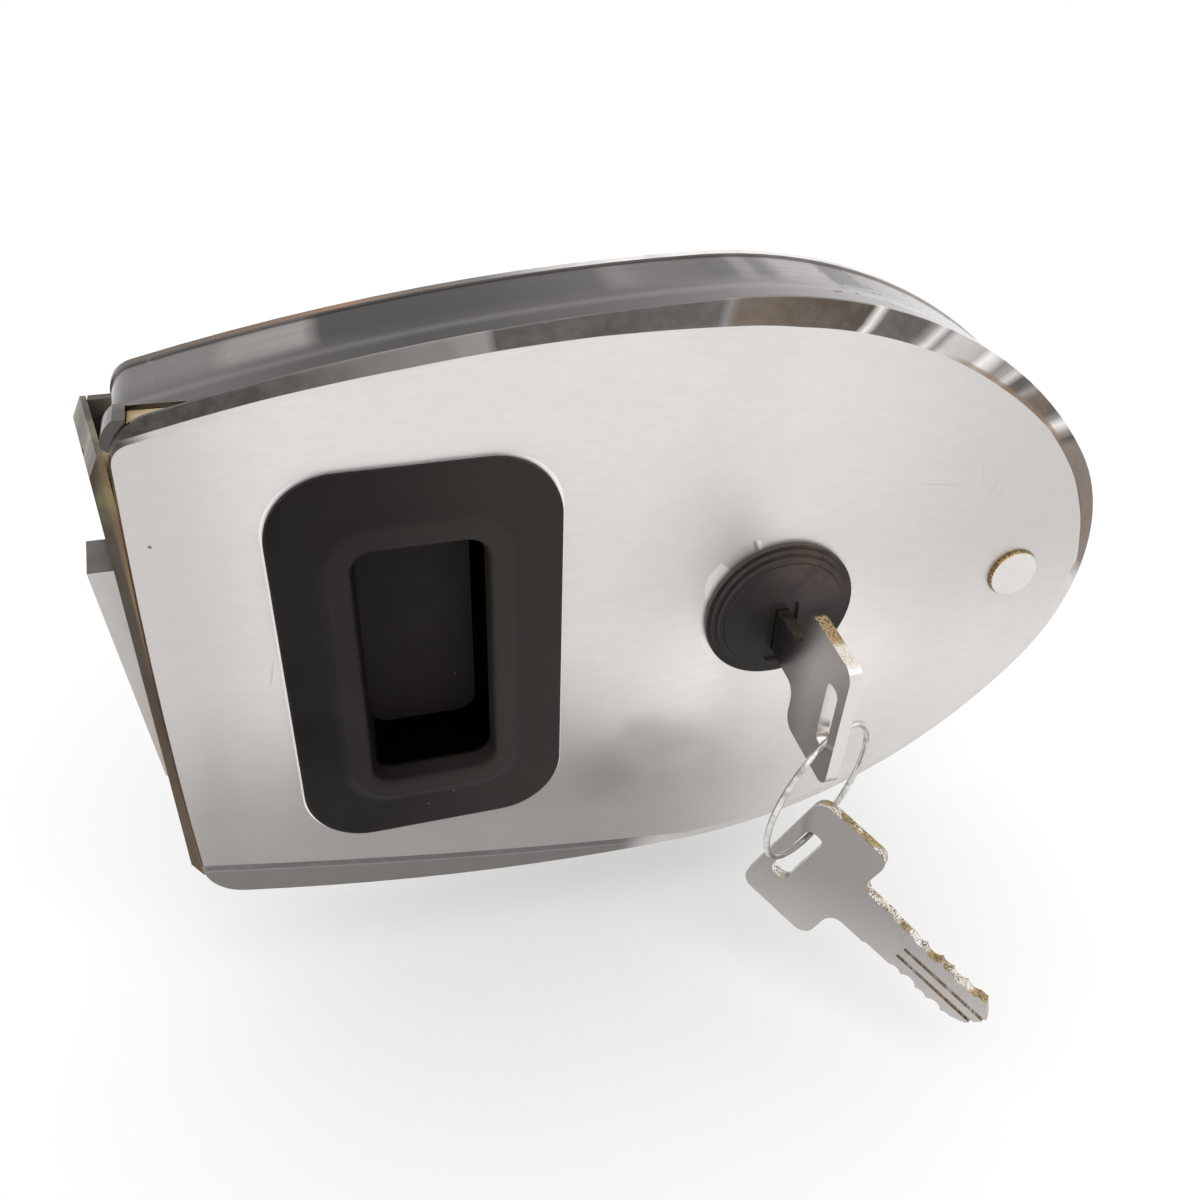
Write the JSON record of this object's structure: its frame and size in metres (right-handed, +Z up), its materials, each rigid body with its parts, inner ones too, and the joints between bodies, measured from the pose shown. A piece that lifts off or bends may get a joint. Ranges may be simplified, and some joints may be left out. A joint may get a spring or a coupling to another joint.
{
  "type": "hook bolt door lock",
  "caption": "Long round-nosed sliding door lock with a finger pull, a key cylinder and a swinging hook bolt at its end.",
  "frame": {"origin": "on the door face, behind the middle of the finger pull, at half height of the case", "axes": "+X towards the round nose, -Y out of the front face, +Z up"},
  "size_m": [0.1739, 0.0725, 0.1188],
  "materials": {
    "satin_steel": "satin",
    "polished_steel": "polished",
    "bolt_steel": "satin",
    "zinc_steel": "satin",
    "yellow_passivated": "satin",
    "bright_brass": "polished",
    "brass": "satin",
    "bright_nickel": "polished",
    "black_plastic": "matte"
  },
  "bodies": {
    "case": {"front_cover": "satin_steel", "body_shell": "polished_steel", "back_plate": "polished_steel", "mount_bosses": "zinc_steel", "spacer_posts": "zinc_steel", "back_screws": "zinc_steel", "tip_post": "zinc_steel", "tip_stud": "bright_brass", "forend": "polished_steel", "forend_screws": "zinc_steel", "lock_case": "yellow_passivated", "case_lid": "yellow_passivated", "case_screws": "zinc_steel", "bolt_pivot": "zinc_steel", "pivot_spacer": "zinc_steel", "bar_guides": "black_plastic", "cylinder_body": "brass", "plug_pin": "zinc_steel", "cylinder_nut": "zinc_steel", "cylinder_cap": "black_plastic", "pull_cup": "black_plastic", "cup_retainer": "zinc_steel", "cup_screws": "zinc_steel"},
    "plug": {"cylinder_plug": "brass", "plug_wafers": "brass", "plug_cam": "zinc_steel", "keyhole_disc": "black_plastic"},
    "bolt": {"hook_bolt": "bolt_steel"},
    "bar": {"drive_bar": "zinc_steel", "drive_pin": "zinc_steel"},
    "key": {"key": "bright_nickel"},
    "ring": {"key_ring": "bright_nickel"},
    "spare": {"spare_key": "bright_nickel"}
  },
  "joints": [
    {"name": "key_turn", "type": "hinge", "parent": "case", "child": "plug", "pos_m": [0.062, -0.012, 0], "axis": [0, -1, 0], "range_deg": [0, 90]},
    {"name": "bolt_swing", "type": "hinge", "parent": "case", "child": "bolt", "pos_m": [-0.034, -0.0111, -0.026], "axis": [0, -1, 0], "range_deg": [0, 26]},
    {"name": "drive_slide", "type": "slide", "parent": "case", "child": "bar", "axis": [-1, 0, 0], "range_m": [0, 0.01626]},
    {"name": "key_pull", "type": "slide", "parent": "plug", "child": "key", "axis": [0, -0.9986, -0.0523], "range_m": [0, 0.03]},
    {"name": "ring_swing", "type": "hinge", "parent": "key", "child": "ring", "pos_m": [0.062, -0.04484, -0.00983], "axis": [1, 0, 0], "range_deg": [-30, 12]},
    {"name": "spare_swing", "type": "hinge", "parent": "ring", "child": "spare", "pos_m": [0.06424, -0.0415, -0.03714], "axis": [0.8727, 0.4709, 0.129], "range_deg": [-20, 20]}
  ],
  "couplings": [
    {"joint": "bolt_swing", "follows": "key_turn", "ratio": 0.2888},
    {"joint": "drive_slide", "follows": "key_turn", "m_per_rad": 0.010353}
  ]
}
